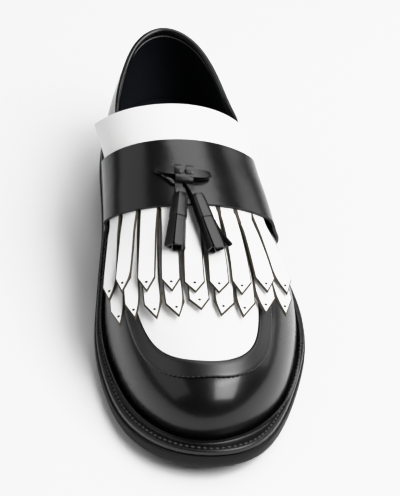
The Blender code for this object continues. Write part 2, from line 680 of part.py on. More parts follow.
for share in FLAP_SHARES:
    back = FLAP_LENGTH * share
    rise_back = back * math.sin(FLAP_SLOPE) - droop * share ** 2
    move = np.stack([flare * share, np.full(rise.shape, back * math.cos(FLAP_SLOPE)), rise_back], -1)
    tongue_under.append(tongue_under[2] + move)
    tongue_over.append(tongue_over[2] + move)
tongue_under = np.array(tongue_under)
tongue_over = np.array(tongue_over)
tongue_index = np.arange(tongue_under.shape[0] * tongue_under.shape[1]).reshape(tongue_under.shape[:2])
thick_sheet("tongue", tongue_over, tongue_under, grid_faces(tongue_index), WHITE, 0.42)

# Tassel tie: a thong over the saddle, its two ends brought down into one knot; the loop closes in the knot
TIE_SIDES = 8
TIE_SEAT = SADDLE_ROOT + SADDLE_THICK + GAP
TIE_COLUMNS = ("along", "girth", "wide", "high")
TIE = {
    "knot": (146.0, 2.2, 3.2, 1.7),
    "medial leg": (149.0, -2.6, 1.7, 0.9),
    "medial leg top": (152.2, -6.4, 1.7, 0.9),
    "medial turn": (155.6, -9.6, 1.9, 0.8),
    "medial bar": (157.2, -6.6, 1.8, 1.0),
    "first dip": (156.8, -3.2, 1.7, 0.75),
    "medial middle": (156.2, 0.6, 1.8, 1.05),
    "second dip": (155.4, 4.0, 1.7, 0.75),
    "lateral middle": (154.6, 7.6, 1.8, 1.05),
    "third dip": (153.6, 11.0, 1.7, 0.75),
    "lateral bar": (152.6, 14.0, 1.8, 1.0),
    "lateral turn": (150.6, 16.4, 1.9, 0.8),
    "lateral leg top": (148.6, 12.2, 1.7, 0.9),
    "lateral leg": (147.2, 7.6, 1.7, 0.9),
}
tie = columns_of(TIE_COLUMNS, TIE)
tie_centres = []
for along, girth, high in zip(tie["along"], tie["girth"], tie["high"]):
    tie_centres.append(wrap(along, girth, TIE_SEAT + high))
tie_rings = []
for number, (centre, normal) in enumerate(tie_centres):
    before = tie_centres[number - 1][0]
    after = tie_centres[(number + 1) % len(tie_centres)][0]
    across = np.cross(normal, after - before)
    across = across / np.linalg.norm(across)
    for side in range(TIE_SIDES):
        turn = math.tau * side / TIE_SIDES
        wide = tie["wide"][number] * math.cos(turn)
        high = tie["high"][number] * math.sin(turn)
        tie_rings.append(centre + across * wide + normal * high)
tie_index = np.arange(len(tie_rings)).reshape(len(tie_centres), TIE_SIDES)
tie_index = np.hstack([tie_index, tie_index[:, :1]])
make_object("tassel_tie", np.array(tie_rings), grid_faces(tie_index, closed=True), BLACK, 0.35, 60.0)

# Tassels: a thong neck, a wrapped head with a band, and a skirt of broad strips fused side by side, hollow below
TASSEL_SIDES = 28
SKIRT_STRIPS = 7
TASSEL_COLUMNS = ("share", "wide", "high", "groove")
TASSEL_PROFILE = {
    "neck top": (0.00, 1.5, 1.3, 0.0),
    "neck": (0.08, 1.8, 1.5, 0.0),
    "head top": (0.14, 3.2, 2.6, 0.0),
    "head": (0.26, 4.2, 3.3, 0.0),
    "head foot": (0.42, 4.6, 3.5, 0.0),
    "band": (0.45, 4.2, 3.2, 0.0),
    "skirt top": (0.48, 4.6, 3.5, 0.06),
    "skirt": (0.72, 5.3, 3.7, 0.15),
    "skirt foot": (1.00, 5.8, 3.8, 0.20),
}
TASSEL_PLACE_COLUMNS = ("neck_along", "neck_girth", "foot_along", "foot_girth", "neck_height", "foot_height")
TASSEL_PLACES = {
    "tassel_medial": (140.6, -0.6, 106.0, -9.4, 10.0, 10.8),
    "tassel_lateral": (138.4, 5.6, 102.5, 10.2, 10.4, 10.8),
}
SKIRT_FOOT_WAVE = 1.2
SKIRT_HOLLOW = 5.0
HOLLOW_WIDTH = 0.62
tassel = columns_of(TASSEL_COLUMNS, TASSEL_PROFILE)
tassel_turns = math.tau * np.arange(TASSEL_SIDES) / TASSEL_SIDES
strip_wave = np.cos(SKIRT_STRIPS * (tassel_turns - 0.25 * math.tau))
for name, row in TASSEL_PLACES.items():
    cell = dict(zip(TASSEL_PLACE_COLUMNS, row))
    neck, neck_normal = wrap(cell["neck_along"], cell["neck_girth"], cell["neck_height"])
    foot, foot_normal = wrap(cell["foot_along"], cell["foot_girth"], cell["foot_height"])
    axis = (foot - neck) / np.linalg.norm(foot - neck)
    normal = neck_normal + foot_normal
    normal = normal - axis * np.dot(normal, axis)
    normal = normal / np.linalg.norm(normal)
    across = np.cross(normal, axis)
    around = np.cos(tassel_turns)[:, None] * across
    above = np.sin(tassel_turns)[:, None] * normal
    rings = []
    for share, wide, high, groove in zip(*tassel.values()):
        size = 1.0 - groove * (0.5 - 0.5 * strip_wave)
        rings.append(neck + (foot - neck) * share + size[:, None] * (wide * around + high * above))
    rings[-1] = rings[-1] + SKIRT_FOOT_WAVE * strip_wave[:, None] * axis
    mouth = HOLLOW_WIDTH * (tassel["wide"][-1] * around + tassel["high"][-1] * above)
    rings.append(foot - axis * SKIRT_FOOT_WAVE + mouth)
    rings.append(foot - axis * SKIRT_HOLLOW + HOLLOW_WIDTH * mouth)
    points = np.vstack(rings + [neck, foot - axis * SKIRT_HOLLOW])
    index = np.arange(len(rings) * TASSEL_SIDES).reshape(len(rings), TASSEL_SIDES)
    index = np.hstack([index, index[:, :1]])
    faces = grid_faces(index)
    for side in range(TASSEL_SIDES):
        faces.append((len(points) - 2, int(index[0, side + 1]), int(index[0, side])))
        faces.append((len(points) - 1, int(index[-1, side]), int(index[-1, side + 1])))
    make_object(name, points, faces, BLACK, 0.35, 50.0)
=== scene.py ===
# %% [markdown]
# # Kiltie tassel loafer, left shoe
# This lesson dresses the solid model of a black and white loafer. The solids already have the true shape of every
# piece, so most steps copy a solid, join its triangles back into four-sided faces, round it with a subdivision
# surface and give it a finish. What is too fine for the solids, such as stitches, pinholes and the strips of the
# tassels, is modelled here.

# %% Load the solids
import math

import bmesh
import bpy
import numpy as np
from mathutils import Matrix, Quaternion, Vector
from mathutils.bvhtree import BVHTree


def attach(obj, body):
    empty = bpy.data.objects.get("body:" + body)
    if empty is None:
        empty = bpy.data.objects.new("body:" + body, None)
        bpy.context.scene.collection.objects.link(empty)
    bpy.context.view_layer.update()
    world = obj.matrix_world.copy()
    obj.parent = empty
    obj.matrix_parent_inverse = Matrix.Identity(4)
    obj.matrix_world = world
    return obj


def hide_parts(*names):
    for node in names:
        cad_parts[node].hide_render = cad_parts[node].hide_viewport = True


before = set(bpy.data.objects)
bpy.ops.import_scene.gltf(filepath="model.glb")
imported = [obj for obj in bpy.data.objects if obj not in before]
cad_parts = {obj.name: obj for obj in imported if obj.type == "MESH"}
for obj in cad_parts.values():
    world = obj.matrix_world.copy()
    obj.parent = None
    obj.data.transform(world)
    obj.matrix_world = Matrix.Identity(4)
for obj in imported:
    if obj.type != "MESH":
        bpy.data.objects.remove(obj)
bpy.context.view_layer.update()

MM = 0.001
bpy.ops.object.select_all(action="DESELECT")

# %% [markdown]
# ## Camera
# The shoe is seen from in front and above, a little from its medial side. A long lens from about a metre away
# keeps the heel from looking much smaller than the toe. The camera is aimed at the middle of the shoe, so no
# shift is needed, and it is rolled a little, which sets how far the shoe leans in the picture.

# %% Camera
CAMERA_PLACE = Vector((-0.1088, -0.7662, 0.6600))
CAMERA_AIM = Vector((0.0017, -0.0193, 0.0450))
CAMERA_ROLL = math.radians(3.0)
LENS = 129.0
bpy.ops.object.camera_add(location=CAMERA_PLACE)
camera = bpy.context.object
camera.name = "camera"
camera_turn = (CAMERA_AIM - CAMERA_PLACE).to_track_quat("-Z", "Y")
camera.rotation_euler = (camera_turn @ Quaternion((0.0, 0.0, 1.0), CAMERA_ROLL)).to_euler()
camera.data.sensor_width = 36.0
camera.data.lens = LENS
bpy.context.scene.camera = camera
print("camera distance in mm:", round((CAMERA_AIM - CAMERA_PLACE).length / MM))

# %% [markdown]
# ## Floor and light
# Black polished leather shows little of its own colour: it shows what it mirrors. So one soft panel stands high
# on the lateral side, a little in front, where its mirror image falls on the lateral half of the toe. It is
# turned by 45 degrees so that the image follows the toe instead of standing on a corner. A second panel hangs
# above the heel and lights the middle of the saddle. A large, far one on the medial side keeps the white leather
# bright, and two weak ones, beside and behind, draw the edges of the sole and the collar. The room itself is dim,
# so everything that mirrors another direction stays dark.
#
# White paper and black leather are further apart than a picture can show. A camera bends the brightest tones
# over, and the tone curve here does the same, so the white leather keeps its shape without turning grey.

# %% Floor and room
FLOOR_COLOUR = (0.91, 0.91, 0.91, 1.0)
FLOOR_SIZE = 8.0
FLOOR_BELOW = (0.0, 0.0, -0.0002)
PAPER_ROUGH = 0.9
PAPER_SHINE = 0.1
ROOM_LIGHT = 0.08
bpy.ops.mesh.primitive_plane_add(size=FLOOR_SIZE, location=FLOOR_BELOW)
floor = bpy.context.object
floor.name = "floor"
floor_finish = bpy.data.materials.new("floor paper")
floor_finish.use_nodes = True
floor_shader = floor_finish.node_tree.nodes["Principled BSDF"]
floor_shader.inputs["Base Color"].default_value = FLOOR_COLOUR
floor_shader.inputs["Roughness"].default_value = PAPER_ROUGH
floor_shader.inputs["Specular IOR Level"].default_value = PAPER_SHINE
floor.data.materials.append(floor_finish)

world = bpy.data.worlds.new("studio")
world.use_nodes = True
room = world.node_tree.nodes["Background"]
room.inputs["Color"].default_value = (1.0, 1.0, 1.0, 1.0)
room.inputs["Strength"].default_value = ROOM_LIGHT
bpy.context.scene.world = world

# %% Tone curve
# Each pair is an amount of light and the tone it gives
TONE_LIMIT = 1.5
TONE_POINTS = ((0.0, 0.0), (0.10, 0.110), (0.41, 0.54), (0.70, 0.82), (1.0, 0.915), (TONE_LIMIT, 0.95))
view = bpy.context.scene.view_settings
view.view_transform = "Standard"
view.use_curve_mapping = True
view.curve_mapping.white_level = (TONE_LIMIT, TONE_LIMIT, TONE_LIMIT)
tone_curve = view.curve_mapping.curves[3]
for light, tone in TONE_POINTS[1:-1]:
    tone_curve.points.new(light / TONE_LIMIT, tone)
tone_curve.points[-1].location = (1.0, TONE_POINTS[-1][1])
view.curve_mapping.update()


# %% Soft panels
def soft_panel(name, place, aim, width, depth, power, turn=0.0):
    """An area light that faces a point, turned about its own axis by some degrees."""
    bpy.ops.object.light_add(type="AREA", location=place)
    panel = bpy.context.object
    panel.name = name
    facing = (Vector(aim) - Vector(place)).to_track_quat("-Z", "Y")
    panel.rotation_euler = (facing @ Quaternion((0.0, 0.0, 1.0), math.radians(turn))).to_euler()
    panel.data.shape = "RECTANGLE"
    panel.data.size = width
    panel.data.size_y = depth
    panel.data.energy = power


soft_panel(
    "lateral panel", place=(0.65, -0.55, 1.06), aim=(0.0, -0.05, 0.04), width=0.95, depth=0.86, power=17.6,
    turn=45.0)
soft_panel("heel panel", place=(0.50, 0.26, 1.30), aim=(0.0, -0.02, 0.04), width=1.4, depth=0.82, power=10.6)
soft_panel("side panel", place=(1.60, 0.70, 0.62), aim=(0.0, 0.0, 0.05), width=0.9, depth=0.7, power=3.0)
soft_panel("medial panel", place=(-1.90, 0.20, 1.40), aim=(0.0, -0.02, 0.04), width=2.8, depth=2.0, power=13.0)
soft_panel("rear panel", place=(0.45, 1.90, 1.45), aim=(0.0, 0.0, 0.05), width=1.7, depth=0.8, power=5.0)

# %% [markdown]
# ## Effects shared by the finishes
# Leather grain is a net of small flat cells with creases between them. A Voronoi texture gives the cells and a
# noise texture breaks them up. A slower noise adds low waves, as in a strap that has been pulled over the instep.
# The group puts out a height for bump and a tone that varies the colour a little. A second group gives broad,
# faint clouds, which keep the gloss from looking the same everywhere.


# %% Shared effects
CELLS_A_METRE = 1400.0
CREASE_REACH = 0.16
CELL_SHARE = 0.55
WRINKLES_A_METRE = 260.0
WAVES_A_METRE = 110.0
CLOUDS_A_METRE = 26.0


def new_group(name, inputs, outputs):
    """An empty shader node group with named number sockets."""
    group = bpy.data.node_groups.new(name, "ShaderNodeTree")
    for socket, value in inputs.items():
        made = group.interface.new_socket(socket, in_out="INPUT", socket_type="NodeSocketFloat")
        made.default_value = value
    for socket in outputs:
        group.interface.new_socket(socket, in_out="OUTPUT", socket_type="NodeSocketFloat")
    start = group.nodes.new("NodeGroupInput")
    end = group.nodes.new("NodeGroupOutput")
    return group, start, end


def make_hide_grain():
    """Height and tone of leather: cells with creases, fine wrinkles and low waves."""
    group, start, end = new_group("hide grain", {"Cells": CELLS_A_METRE, "Waves": 0.0}, ["Height", "Tone"])
    nodes, links = group.nodes, group.links
    place = nodes.new("ShaderNodeTexCoord")
    cells = nodes.new("ShaderNodeTexVoronoi")
    cells.feature = "DISTANCE_TO_EDGE"
    wrinkle = nodes.new("ShaderNodeTexNoise")
    wrinkle.inputs["Scale"].default_value = WRINKLES_A_METRE
    wrinkle.inputs["Detail"].default_value = 5.0
    wrinkle.inputs["Roughness"].default_value = 0.62
    links.new(place.outputs["Object"], cells.inputs["Vector"])
    links.new(place.outputs["Object"], wrinkle.inputs["Vector"])
    links.new(start.outputs["Cells"], cells.inputs["Scale"])
    swell = nodes.new("ShaderNodeTexNoise")
    swell.inputs["Scale"].default_value = WAVES_A_METRE
    swell.inputs["Detail"].default_value = 2.0
    links.new(place.outputs["Object"], swell.inputs["Vector"])
    shallow = nodes.new("ShaderNodeMapRange")
    shallow.inputs["From Max"].default_value = CREASE_REACH
    links.new(cells.outputs["Distance"], shallow.inputs["Value"])
    both = nodes.new("ShaderNodeMath")
    both.operation = "MULTIPLY_ADD"
    both.inputs[1].default_value = CELL_SHARE
    links.new(shallow.outputs["Result"], both.inputs[0])
    links.new(wrinkle.outputs["Fac"], both.inputs[2])
    waves = nodes.new("ShaderNodeMath")
    waves.operation = "MULTIPLY_ADD"
    links.new(swell.outputs["Fac"], waves.inputs[0])
    links.new(start.outputs["Waves"], waves.inputs[1])
    links.new(both.outputs["Value"], waves.inputs[2])
    links.new(waves.outputs["Value"], end.inputs["Height"])
    links.new(wrinkle.outputs["Fac"], end.inputs["Tone"])
    return group


def make_broad_clouds():
    """A value that drifts slowly between a low and a high one."""
    group, start, end = new_group("broad clouds", {"Scale": CLOUDS_A_METRE, "Low": 0.0, "High": 1.0}, ["Value"])
    nodes, links = group.nodes, group.links
    place = nodes.new("ShaderNodeTexCoord")
    noise = nodes.new("ShaderNodeTexNoise")
    noise.inputs["Detail"].default_value = 3.0
    spread = nodes.new("ShaderNodeMapRange")
    spread.inputs["From Min"].default_value = 0.3
    spread.inputs["From Max"].default_value = 0.7
    links.new(place.outputs["Object"], noise.inputs["Vector"])
    links.new(start.outputs["Scale"], noise.inputs["Scale"])
    links.new(noise.outputs["Fac"], spread.inputs["Value"])
    links.new(start.outputs["Low"], spread.inputs["To Min"])
    links.new(start.outputs["High"], spread.inputs["To Max"])
    links.new(spread.outputs["Result"], end.inputs["Value"])
    return group


HIDE_GRAIN = make_hide_grain()
BROAD_CLOUDS = make_broad_clouds()
print("groups:", [group.name for group in bpy.data.node_groups])

# %% [markdown]
# ## Finishes
# Every finish is the same small tree with its own values: a grain that moves the normal, a tone between two close
# colours, and a roughness that drifts in broad clouds. Grain and waves are given in millimetres. Values that are
# the same all over, such as the coat, are set on the shader itself. The vamp is brushed to a high gloss, so it
# has a coat. The saddle is softer leather with low waves, the band around the apron is duller, and cut edges are
# rough.


# %% Finishes
COAT_ROUGH = 0.14


def grey(value):
    return value, value, value


def hide_finish(name, dark, light, rough, grain, cells=CELLS_A_METRE, coat=0.0, specular=0.5, waves=0.0):
    """A finish with a grain, two close tones and a roughness between two values."""
    finish = bpy.data.materials.new(name)
    finish.use_nodes = True
    nodes, links = finish.node_tree.nodes, finish.node_tree.links
    shader = nodes["Principled BSDF"]
    shader.inputs["Coat Weight"].default_value = coat
    shader.inputs["Coat Roughness"].default_value = COAT_ROUGH
    shader.inputs["Specular IOR Level"].default_value = specular
    texture = nodes.new("ShaderNodeGroup")
    texture.node_tree = HIDE_GRAIN
    texture.inputs["Cells"].default_value = cells
    texture.inputs["Waves"].default_value = waves / grain
    clouds = nodes.new("ShaderNodeGroup")
    clouds.node_tree = BROAD_CLOUDS
    clouds.inputs["Low"].default_value = rough[0]
    clouds.inputs["High"].default_value = rough[1]
    tone = nodes.new("ShaderNodeMix")
    tone.data_type = "RGBA"
    tone.inputs[6].default_value = (*dark, 1.0)
    tone.inputs[7].default_value = (*light, 1.0)
    bump = nodes.new("ShaderNodeBump")
    bump.inputs["Strength"].default_value = 1.0
    bump.inputs["Distance"].default_value = grain * MM
    links.new(texture.outputs["Tone"], tone.inputs[0])
    links.new(tone.outputs[2], shader.inputs["Base Color"])
    links.new(clouds.outputs["Value"], shader.inputs["Roughness"])
    links.new(texture.outputs["Height"], bump.inputs["Height"])
    links.new(bump.outputs["Normal"], shader.inputs["Normal"])
    return finish


POLISHED_BLACK = hide_finish(
    "polished black leather", grey(0.0012), grey(0.0024), rough=(0.24, 0.31), grain=0.008, coat=0.32,
    specular=0.30)
SADDLE_BLACK = hide_finish(
    "saddle black leather", grey(0.002), grey(0.004), rough=(0.18, 0.24), grain=0.012, specular=0.50, waves=0.14)
BAND_BLACK = hide_finish(
    "band black leather", grey(0.002), grey(0.004), rough=(0.31, 0.40), grain=0.012, specular=0.58)
TASSEL_LEATHER = hide_finish(
    "tassel leather", grey(0.002), grey(0.004), rough=(0.20, 0.27), grain=0.009, specular=0.50)
SMOOTH_WHITE = hide_finish(
    "smooth white leather", (0.80, 0.80, 0.795), (0.85, 0.85, 0.845), rough=(0.42, 0.5), grain=0.02)
RAW_EDGE = hide_finish(
    "raw cut edge", (0.030, 0.024, 0.016), (0.066, 0.054, 0.036), rough=(0.7, 0.85), grain=0.06, cells=2600.0)
BLACK_EDGE = hide_finish(
    "black cut edge", grey(0.002), grey(0.006), rough=(0.5, 0.6), grain=0.05, cells=2600.0)
LINING = hide_finish(
    "lining leather", (0.0022, 0.0034, 0.006), (0.0045, 0.006, 0.009), rough=(0.55, 0.65), grain=0.03,
    specular=0.35)
SOLE_RUBBER = hide_finish(
    "sole rubber", (0.004, 0.004, 0.0045), (0.008, 0.008, 0.0085), rough=(0.45, 0.55), grain=0.03, cells=2400.0,
    specular=0.18)
WELT_LEATHER = hide_finish(
    "welt leather", grey(0.0015), grey(0.004), rough=(0.22, 0.30), grain=0.03, cells=1900.0, specular=0.45)
THREAD = hide_finish(
    "waxed thread", grey(0.018), grey(0.042), rough=(0.5, 0.6), grain=0.03, cells=5200.0)
DARK_THREAD = hide_finish(
    "dark thread", grey(0.004), grey(0.010), rough=(0.4, 0.5), grain=0.03, cells=5200.0)
# Painted highlight: the facing seam is mid grey so that it reads as a lit line inside the dim collar.
SEAM_PAINTED_HIGHLIGHT = hide_finish(
    "facing seam painted highlight", (0.08, 0.08, 0.085), (0.15, 0.15, 0.16), rough=(0.3, 0.4), grain=0.02)
print("finishes:", len(bpy.data.materials))

# %% [markdown]
# ## Starting from a solid
# A solid comes in as loose triangles. A copy is merged, and its triangles are joined into four-sided faces,
# because a subdivision surface rounds those evenly. Edges that should stay crisp get a crease first. The solid
# itself is never touched: the copy takes its place.


# %% Helpers for copies of solids
MERGE_DISTANCE = 0.000002
JOIN_ANGLE = math.radians(70.0)
JOIN_SHAPE = math.radians(80.0)


def select_only(piece):
    """Selects one piece and makes it the active one."""
    bpy.ops.object.select_all(action="DESELECT")
    piece.select_set(True)
    bpy.context.view_layer.objects.active = piece


def start_from(node, name):
    """A merged copy of a solid's mesh in four-sided faces."""
    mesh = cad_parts[node].data.copy()
    mesh.name = name
    mesh.materials.clear()
    piece = bpy.data.objects.new(name, mesh)
    bpy.context.collection.objects.link(piece)
    select_only(piece)
    if mesh.has_custom_normals:
        bpy.ops.mesh.customdata_custom_splitnormals_clear()
    bpy.ops.object.mode_set(mode="EDIT")
    bpy.ops.mesh.select_all(action="SELECT")
    bpy.ops.mesh.remove_doubles(threshold=MERGE_DISTANCE)
    bpy.ops.mesh.tris_convert_to_quads(face_threshold=JOIN_ANGLE, shape_threshold=JOIN_SHAPE)
    bpy.ops.mesh.mark_sharp(clear=True)
    bpy.ops.object.mode_set(mode="OBJECT")
    return piece


def crease_corners(piece, angle, amount):
    """Creases every edge where the faces turn by more than an angle."""
    select_only(piece)
    bpy.ops.object.mode_set(mode="EDIT")
    bpy.ops.mesh.select_mode(type="EDGE")
    bpy.ops.mesh.select_all(action="DESELECT")
    bpy.ops.mesh.edges_select_sharp(sharpness=math.radians(angle))
    bpy.ops.transform.edge_crease(value=amount)
    bpy.ops.object.mode_set(mode="OBJECT")


def subdivide_smooth(piece, levels, shade_angle=50.0):
    """Rounds a piece with a subdivision surface and shades it smooth up to an angle."""
    select_only(piece)
    rounding = piece.modifiers.new("rounding", "SUBSURF")
    rounding.levels = levels
    rounding.render_levels = levels
    bpy.ops.object.modifier_apply(modifier="rounding")
    bpy.ops.object.shade_smooth_by_angle(angle=math.radians(shade_angle))


def thin_walls(piece, thickness):
    """Faces that make the cut edge of a sheet: their shortest side is no longer than the sheet is thick."""
    walls = []
    for face in piece.data.polygons:
        corners = [piece.data.vertices[index].co for index in face.vertices]
        sides = [(corners[place] - corners[place - 1]).length for place in range(len(corners))]
        if min(sides) < thickness:
            walls.append(face.index)
    return walls


def put_in_place(piece, slot, *nodes):
    """Ties a finished piece to the shoe and hides the solids that it stands for. The slot is not used."""
    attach(piece, "root")
    if nodes:
        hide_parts(*nodes)
    print(piece.name, "faces:", len(piece.data.polygons))


# %% [markdown]
# ## Lines along an edge
# Seams and rolled edges follow the edges of the leather. A line starts at one point of a piece and runs on from
# edge to edge, straight ahead. For stitches it is cut into even steps. A roll is a curve along such a line with a
# round bevel, turned into a mesh.


# %% Lines along an edge
SIDEWAYS = Vector((1.0, 0.0, 0.0))
ROLL_MERGE = 0.00001


def edge_line(piece, first, second):
    """Points along the row of edges that runs on from two neighbouring points."""
    build = bmesh.new()
    build.from_mesh(piece.data)
    build.verts.ensure_lookup_table()
    line = [first, second]
    while True:
        here = build.verts[line[-1]]
        came = build.edges.get((build.verts[line[-2]], here))
        ahead = [edge for edge in here.link_edges if not set(edge.link_faces) & set(came.link_faces)]
        if len(ahead) != 1:
            break
        following = ahead[0].other_vert(here).index
        if following == first:
            break
        line.append(following)
    points = [build.verts[index].co.copy() for index in line]
    build.free()
    return points


def spaced_points(points, pitch):
    """Points at even steps along a line, with the direction of the line there."""
    points = np.array([tuple(point) for point in points])
    lengths = np.concatenate([[0.0], np.cumsum(np.linalg.norm(np.diff(points, axis=0), axis=1))])
    places = np.arange(0.5 * pitch, lengths[-1], pitch)
    middle = np.column_stack([np.interp(places, lengths, points[:, axis]) for axis in range(3)])
    ahead = np.column_stack([np.interp(places + 0.3 * pitch, lengths, points[:, axis]) for axis in range(3)])
    behind = np.column_stack([np.interp(places - 0.3 * pitch, lengths, points[:, axis]) for axis in range(3)])
    return middle, ahead - behind


def neighbour_towards(piece, index, direction):
    """The neighbour of a point that lies furthest in a direction."""
    best = None
    for edge in piece.data.edges:
        if index in edge.vertices:
            other = edge.vertices[0] if edge.vertices[1] == index else edge.vertices[1]
            step = (piece.data.vertices[other].co - piece.data.vertices[index].co).normalized().dot(direction)
            if best is None or step > best[0]:
                best = (step, other)
    return best[1]


def roll_along(name, points, radius, finish):
    """A round roll of leather or piping along a line."""
    curve = bpy.data.curves.new(name, "CURVE")
    curve.dimensions = "3D"
    curve.bevel_depth = radius
    curve.bevel_resolution = 3
    curve.use_fill_caps = True
    spline = curve.splines.new("NURBS")
    spline.points.add(len(points) - 1)
    for knot, point in zip(spline.points, points):
        knot.co = (*point, 1.0)
    spline.order_u = 4
    spline.use_endpoint_u = True
    spline.resolution_u = 3
    piece = bpy.data.objects.new(name, curve)
    bpy.context.collection.objects.link(piece)
    select_only(piece)
    bpy.ops.object.convert(target="MESH")
    bpy.ops.object.mode_set(mode="EDIT")
    bpy.ops.mesh.select_all(action="SELECT")
    bpy.ops.mesh.remove_doubles(threshold=ROLL_MERGE)
    bpy.ops.mesh.normals_make_consistent(inside=False)
    bpy.ops.object.mode_set(mode="OBJECT")
    bpy.ops.object.shade_smooth()
    piece.data.materials.clear()
    piece.data.materials.append(finish)
    return piece


# %% [markdown]
# ## Sole, heel and welt
# The outsole is moulded rubber with a rounded edge, the heel a block of the same rubber. The welt lies on the
# outsole, with a small bead where it meets the upper. Their solids only need rounding, so part of each corner is
# creased and the rest goes soft.

# %% Sole, heel and welt
for node, finish, slot, angle, amount in (
        ("outsole", SOLE_RUBBER, "sole_rubber", 40.0, 0.55),
        ("heel", SOLE_RUBBER, "sole_rubber", 40.0, 0.75),
        ("welt", WELT_LEATHER, "black_leather", 35.0, 0.45)):
    piece = start_from(node, "dressed_" + node)
    crease_corners(piece, angle, amount)
    subdivide_smooth(piece, 2)
    piece.data.materials.append(finish)
    put_in_place(piece, slot, node)

# %% [markdown]
# ## Upper
# The upper is a shell with a lining. Faces that look inward get the lining. The rim is creased only a little, so
# it rounds like a folded edge, and a roll along it stands for the padded fold of the collar. Inside the collar a
# strip of leather, the facing, covers the top of the lining: it is copied from the top row of inner faces and
# given a small thickness. A thin line of piping lies along its lower edge, where it is sewn to the lining. The
# piping's mid grey is a painted highlight, which draws a lit seam line inside the dim collar. Both lines end in
# front, where the flap covers the collar. The insole closes the shell below.

# %% Upper
# A line inside the shoe from which the inner faces are seen
HEART_SIDE = -0.005
HEART_HEIGHT = 0.040
HEART_FRONT = -0.085
HEART_REAR = 0.105
RIM_WIDTH = 0.0024
RIM_LOWEST = 0.060
COLLAR_FRONT = 0.046
COLLAR_MIDDLE = 0.085
COLLAR_ROLL = 0.0017
ROLL_SEAT = Vector((0.0, 0.0, -0.0011))
FACING_SEAM = 0.0004
FACING_THICK = 0.0007


def looks_inward(face):
    """Whether a face of the shell turns towards the inside of the shoe."""
    along = min(max(face.center.y, HEART_FRONT), HEART_REAR)
    heart = Vector((HEART_SIDE, along, HEART_HEIGHT))
    return face.normal.dot(face.center - heart) < 0.0


upper = start_from("upper", "dressed_upper")
for finish in (POLISHED_BLACK, LINING, SADDLE_BLACK):
    upper.data.materials.append(finish)
inner_faces = {face.index for face in upper.data.polygons if looks_inward(face)}
rim_faces = {index for index in thin_walls(upper, RIM_WIDTH) if upper.data.polygons[index].center.z > RIM_LOWEST}
rim_corners = {corner for index in rim_faces for corner in upper.data.polygons[index].vertices}
facing_faces = set()
for face in upper.data.polygons:
    if face.index in inner_faces:
        face.material_index = 1
        if face.index not in rim_faces and len(rim_corners & set(face.vertices)) > 1:
            facing_faces.add(face.index)
    if face.index in rim_faces:
        face.material_index = 2
print("facing faces:", len(facing_faces), "rim faces:", len(rim_faces))


# %% Rows of points around the collar
def around_collar(points):
    """Points put in order around the collar, without those in front that lie under the flap."""
    kept = [point for point in points if point.y > COLLAR_FRONT]
    return sorted(kept, key=lambda point: math.atan2(point.x, point.y - COLLAR_MIDDLE))


corner_places = [vertex.co.copy() for vertex in upper.data.vertices]
rim_edges = [edge for index in rim_faces for edge in upper.data.polygons[index].edge_keys]
rungs = {edge for edge in rim_edges if rim_edges.count(edge) == 2}
rim_row = around_collar([corner_places[first].lerp(corner_places[last], 0.5) for first, last in rungs])
facing_corners = {corner for index in facing_faces for corner in upper.data.polygons[index].vertices} - rim_corners
facing_row = around_collar([corner_places[corner] for corner in facing_corners])
print("collar rows:", len(rim_row), len(facing_row))

# %% Collar facing
facing = bpy.data.objects.new("collar_facing", upper.data.copy())
bpy.context.collection.objects.link(facing)
select_only(facing)
bpy.ops.object.mode_set(mode="EDIT")
bpy.ops.mesh.select_mode(type="FACE")
bpy.ops.mesh.select_all(action="DESELECT")
bpy.ops.object.mode_set(mode="OBJECT")
for face in facing.data.polygons:
    face.select = face.index not in facing_faces
bpy.ops.object.mode_set(mode="EDIT")
bpy.ops.mesh.delete(type="FACE")
bpy.ops.object.mode_set(mode="OBJECT")
facing.data.materials.clear()
facing.data.materials.append(SADDLE_BLACK)
skin = facing.modifiers.new("skin", "SOLIDIFY")
skin.thickness = FACING_THICK
skin.offset = 1.0
bpy.ops.object.modifier_apply(modifier="skin")
subdivide_smooth(facing, 2, shade_angle=60.0)
put_in_place(facing, "black_leather")

# %% Shell
crease_corners(upper, angle=60.0, amount=0.4)
subdivide_smooth(upper, 2, shade_angle=70.0)
put_in_place(upper, "black_leather", "upper")


# %% Collar roll and piping
def raised_inside(point):
    """A point of the lining moved off it, towards the middle of the collar."""
    return point - Vector((point.x, point.y - COLLAR_MIDDLE, 0.0)).normalized() * FACING_THICK


collar_roll = roll_along("collar_roll", [point + ROLL_SEAT for point in rim_row], COLLAR_ROLL, POLISHED_BLACK)
put_in_place(collar_roll, "black_leather")
# The piping's grey finish is a painted highlight for the lit seam line inside the dim collar.
facing_seam = roll_along("facing_seam", [raised_inside(point) for point in facing_row], FACING_SEAM, SEAM_PAINTED_HIGHLIGHT)
put_in_place(facing_seam, "black_leather")

# %% Insole
insole = start_from("insole", "dressed_insole")
crease_corners(insole, angle=40.0, amount=0.3)
subdivide_smooth(insole, 1)
insole.data.materials.append(LINING)
put_in_place(insole, "lining_leather", "insole")

# %% [markdown]
# ## Apron, band, saddle and flap
# These are cut sheets. Their faces are rounded by subdivision while the cut edges keep a crease. A face is part
# of the cut edge if one of its sides is no longer than the sheet is thick. The flap's cut edge shows the
# leather's brown core and the saddle's is painted black. The apron and its band keep their own finish there.

# %% Apron, band, saddle and flap
for node, finish, edge, slot, thickness, amount in (
        ("apron", SMOOTH_WHITE, SMOOTH_WHITE, "white_leather", 0.0013, 0.6),
        ("apron_band", BAND_BLACK, BAND_BLACK, "black_leather", 0.0004, 0.3),
        ("saddle", SADDLE_BLACK, BLACK_EDGE, "black_leather", 0.0020, 0.8),
        ("tongue", SMOOTH_WHITE, RAW_EDGE, "white_leather", 0.0014, 0.85)):
    piece = start_from(node, "dressed_" + node)
    piece.data.materials.append(finish)
    piece.data.materials.append(edge)
    for index in thin_walls(piece, thickness):
        piece.data.polygons[index].material_index = 1
    crease_corners(piece, angle=50.0, amount=amount)
    subdivide_smooth(piece, 2, shade_angle=40.0)
    put_in_place(piece, slot, node)

